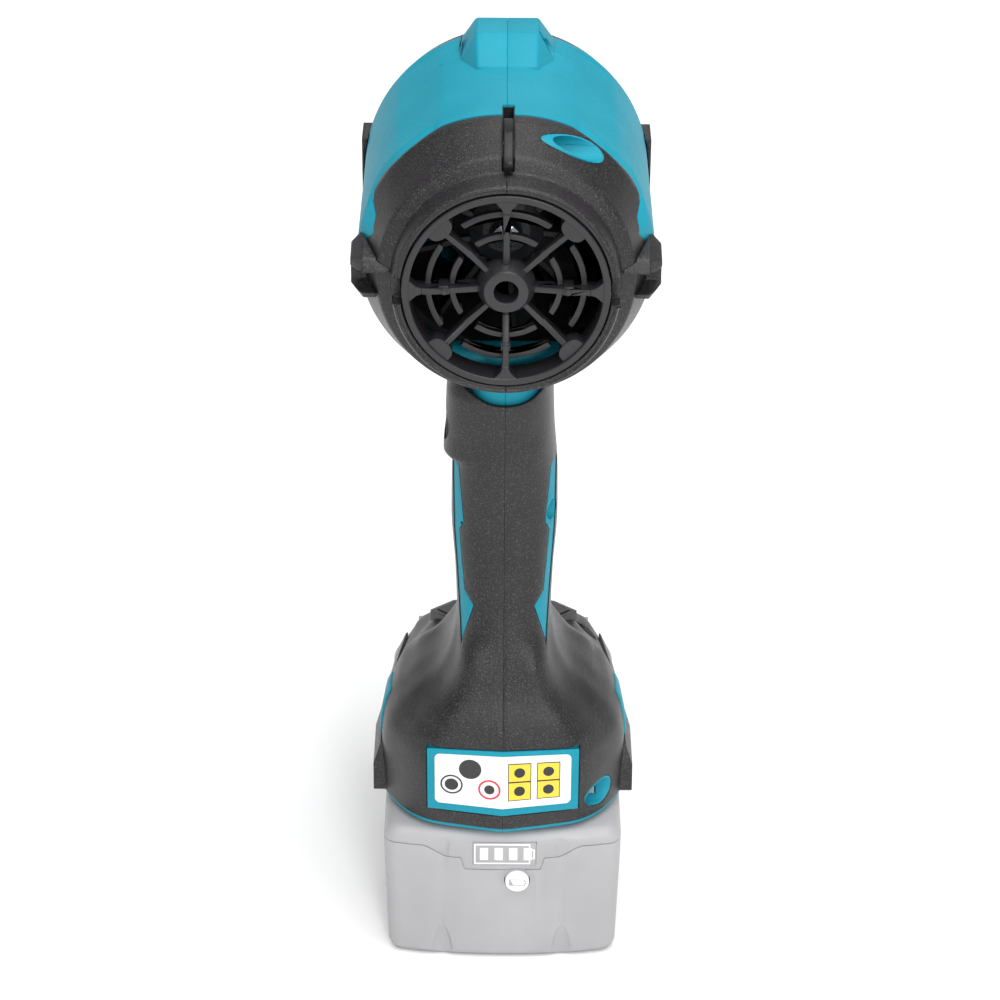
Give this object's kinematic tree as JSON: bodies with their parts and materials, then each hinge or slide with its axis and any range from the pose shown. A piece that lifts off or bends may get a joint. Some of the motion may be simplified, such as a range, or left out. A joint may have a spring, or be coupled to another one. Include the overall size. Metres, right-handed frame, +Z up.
{
  "type": "cordless dust blower",
  "caption": "Pistol-grip cordless dust blower with a grilled rear air inlet, folding hanging hook, push-on nozzle and a slide-on battery that it stands on.",
  "frame": {"origin": "centre of the battery's flat underside, on which the tool stands", "axes": "+Z up through the grip and head, +Y the way the air blows, +X the user's right"},
  "size_m": [0.0898, 0.19, 0.2875],
  "materials": {
    "teal_plastic": "fine moulded grain",
    "elastomer": "soft-touch speckle",
    "black_plastic": "moulded nylon",
    "motor_rubber": "plain",
    "hook_steel": "gloss black",
    "steel": "turned",
    "winding": "varnished copper wire on a laminated core",
    "contact_brass": "plated",
    "circuit_board": "varnished",
    "pale_plastic": "fine moulded grain",
    "fan_plastic": "glass-filled nylon",
    "cell_wrap": "shrink film",
    "label_film": "satin film",
    "lens": "polished"
  },
  "bodies": {
    "tool": {"housing_left": "teal_plastic", "housing_right": "teal_plastic", "grip_skin_left": "elastomer", "grip_skin_right": "elastomer", "rear_cowl_left": "elastomer", "rear_cowl_right": "elastomer", "side_pad_left": "elastomer", "side_pad_right": "elastomer", "inlet_grille": "black_plastic", "front_bumper": "elastomer", "nose_cone": "black_plastic", "nozzle_seal": "motor_rubber", "hook_pivot_screw": "steel", "housing_screw_rise": "steel", "housing_screw_neck": "steel", "housing_screw_grip": "steel", "housing_screw_front": "steel", "housing_screw_heel": "steel", "housing_screw_toe": "steel", "fan_duct": "black_plastic", "motor_mount_rear": "motor_rubber", "motor_mount_front": "motor_rubber", "stator": "winding", "bearing_rear": "steel", "bearing_front": "steel", "motor_end_cap": "black_plastic", "switch_body": "black_plastic", "control_panel": "black_plastic", "indicator_lens": "lens", "label_plate": "label_film", "controller_board": "circuit_board", "terminal_block": "black_plastic", "terminal_blade_left": "contact_brass", "terminal_blade_right": "contact_brass"},
    "rotor": {"impeller": "fan_plastic", "impeller_nut": "steel", "rotor_shaft": "steel", "rotor_magnet": "steel"},
    "hook": {"hanging_hook": "hook_steel"},
    "nozzle": {"nozzle": "black_plastic"},
    "trigger": {"trigger": "black_plastic", "switch_plunger": "fan_plastic"},
    "lock_on": {"lock_on_button": "black_plastic"},
    "mode": {"mode_button": "motor_rubber"},
    "battery": {"battery_case": "pale_plastic", "battery_cover": "pale_plastic", "cell_pack": "cell_wrap", "battery_board": "circuit_board", "gauge_window": "pale_plastic", "release_spring": "steel"},
    "release": {"release_button": "pale_plastic"},
    "check": {"check_button": "pale_plastic"}
  },
  "joints": [
    {"name": "rotor_spin", "type": "hinge", "parent": "tool", "child": "rotor", "pos_m": [0, 0, 0.2376], "axis": [0, 1, 0], "continuous": true},
    {"name": "hook_swing", "type": "hinge", "parent": "tool", "child": "hook", "pos_m": [0.0004, -0.0395, 0.2736], "axis": [-1, 0, 0], "range_deg": [0, 110]},
    {"name": "nozzle_pull", "type": "slide", "parent": "tool", "child": "nozzle", "axis": [0, 1, 0], "range_m": [0, 0.06]},
    {"name": "trigger_pull", "type": "slide", "parent": "tool", "child": "trigger", "axis": [0, -1, 0], "range_m": [0, 0.0065], "stiffness_N_per_m": 800},
    {"name": "lock_on_press", "type": "slide", "parent": "tool", "child": "lock_on", "axis": [1, 0, 0], "range_m": [0, 0.003], "stiffness_N_per_m": 600},
    {"name": "mode_press", "type": "slide", "parent": "tool", "child": "mode", "axis": [0, -0.2667, -0.9638], "range_m": [0, 0.0008], "stiffness_N_per_m": 800},
    {"name": "battery_slide", "type": "slide", "parent": "tool", "child": "battery", "axis": [0, 1, 0], "range_m": [0, 0.12]},
    {"name": "release_press", "type": "slide", "parent": "battery", "child": "release", "axis": [0, 0, -1], "range_m": [0, 0.003], "stiffness_N_per_m": 1500, "deforming": ["release_spring"]},
    {"name": "check_press", "type": "slide", "parent": "battery", "child": "check", "axis": [0, 1, 0], "range_m": [0, 0.0008], "stiffness_N_per_m": 800}
  ]
}
